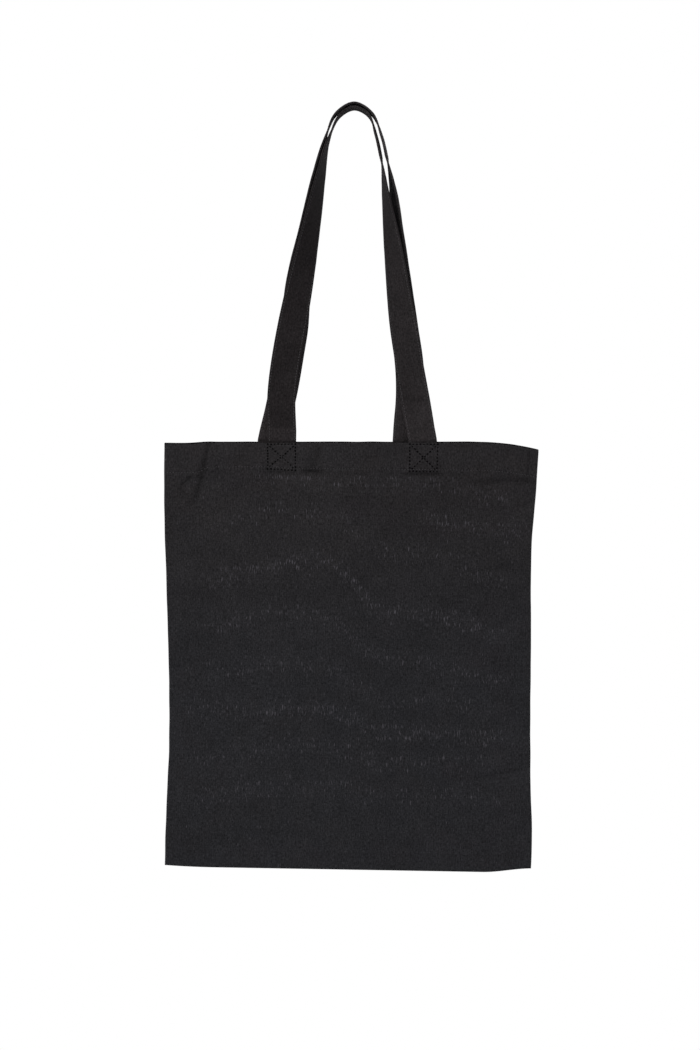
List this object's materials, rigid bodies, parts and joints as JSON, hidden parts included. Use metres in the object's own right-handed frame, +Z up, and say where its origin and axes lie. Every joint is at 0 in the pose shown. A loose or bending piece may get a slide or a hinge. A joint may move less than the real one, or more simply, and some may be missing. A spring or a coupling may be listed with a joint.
{
  "type": "tote bag",
  "caption": "Flat open-topped canvas bag with a folded hem and a long shoulder handle sewn inside each side of its mouth.",
  "frame": {"origin": "the underside of the handles' arch, where a peg or hand carries the bag, midway between the sewn handle ends front to back", "axes": "+Z up from the bag to the handles' arch, X along the mouth from side seam to side seam, -Y out of the front panel, +Y out of the flat back panel"},
  "size_m": [0.366, 0.0301, 0.7577],
  "materials": {
    "canvas": "plain weave cotton, dyed black, matte",
    "strap": "the same canvas folded in four, topstitched",
    "overlock": "raw edges wrapped in overlock thread",
    "thread": "black polyester sewing thread, slight sheen"
  },
  "bodies": {
    "bag_back": {"back_panel": "canvas", "left_seam": "overlock", "right_seam": "overlock", "bottom_seam": "overlock", "back_hem_stitch": "thread", "back_handle_left_end": "strap", "back_handle_right_end": "strap", "back_left_box_stitch": "thread", "back_right_box_stitch": "thread"},
    "bag_front": {"front_panel": "canvas", "front_hem_stitch": "thread", "front_handle_left_end": "strap", "front_handle_right_end": "strap", "front_left_box_stitch": "thread", "front_right_box_stitch": "thread"},
    "front_loop": {"front_handle": "strap", "front_handle_outer_stitch": "thread", "front_handle_inner_stitch": "thread"},
    "back_loop": {"back_handle": "strap", "back_handle_outer_stitch": "thread", "back_handle_inner_stitch": "thread"}
  },
  "joints": [
    {"name": "mouth_open", "type": "hinge", "parent": "bag_back", "child": "bag_front", "pos_m": [0, 0.00265, -0.751], "axis": [1, 0, 0], "range_deg": [0, 7]},
    {"name": "front_handle_fold", "type": "hinge", "parent": "bag_front", "child": "front_loop", "pos_m": [0, -0.00925, -0.3297], "axis": [1, 0, 0], "range_deg": [0, 170]},
    {"name": "back_handle_fold", "type": "hinge", "parent": "bag_back", "child": "back_loop", "pos_m": [0, 0.00595, -0.3297], "axis": [-1, 0, 0], "range_deg": [0, 170]}
  ]
}
